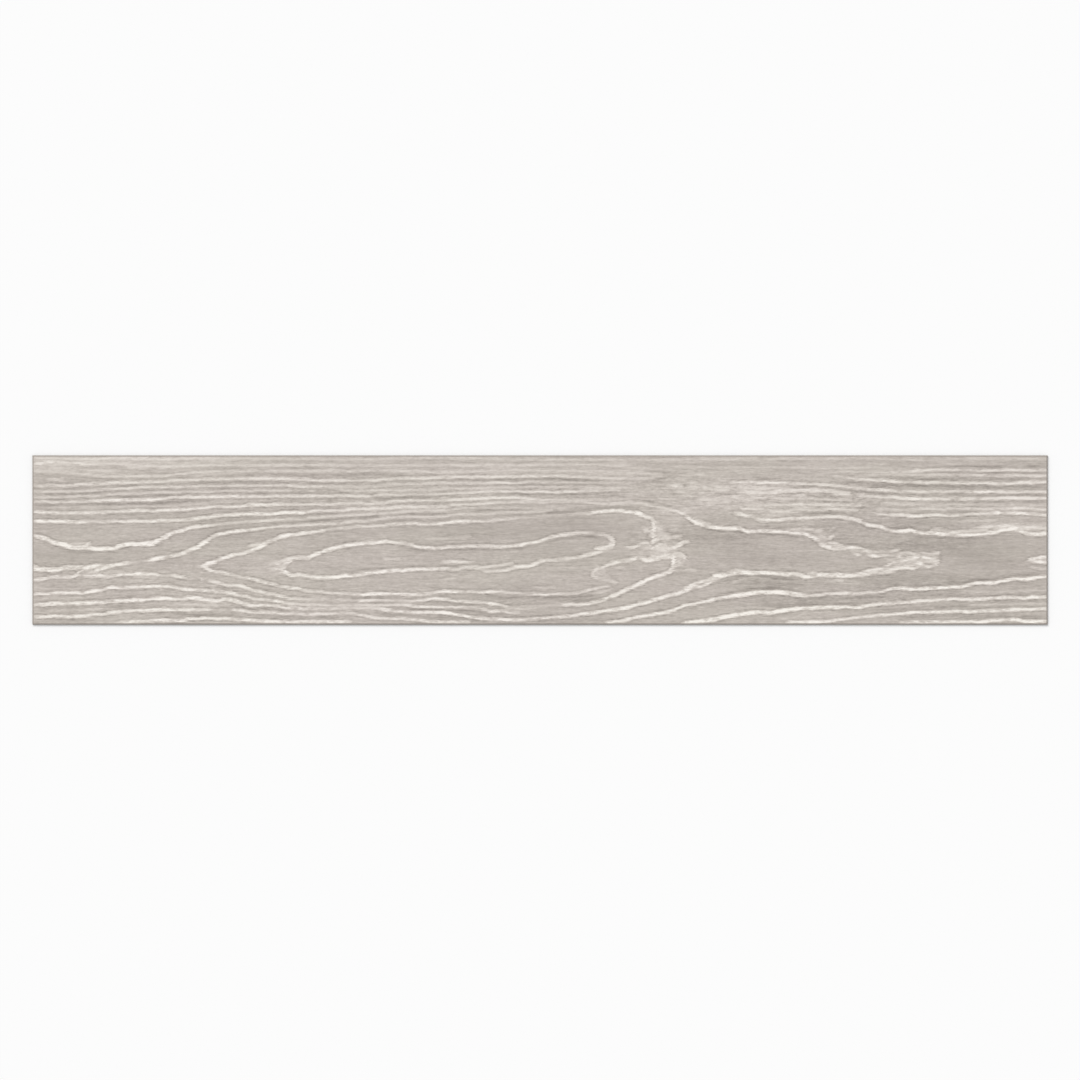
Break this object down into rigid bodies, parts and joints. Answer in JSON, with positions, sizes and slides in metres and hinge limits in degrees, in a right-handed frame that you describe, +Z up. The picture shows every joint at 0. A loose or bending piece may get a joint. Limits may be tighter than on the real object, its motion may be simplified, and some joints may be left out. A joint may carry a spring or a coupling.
{
  "type": "wood look vinyl floor tile",
  "caption": "Long thin rectangular floor tile of laminated vinyl with a pale wood-print face, bevelled rim and flat glue-down underside.",
  "frame": {"origin": "centre of the flat underside", "axes": "+X along the plank and its grain, +Y across the plank, +Z up out of the wear face"},
  "size_m": [0.9144, 0.1524, 0.0025],
  "materials": {
    "wood_print_vinyl": "matte"
  },
  "bodies": {
    "root": {"plank": "wood_print_vinyl"}
  },
  "joints": []
}
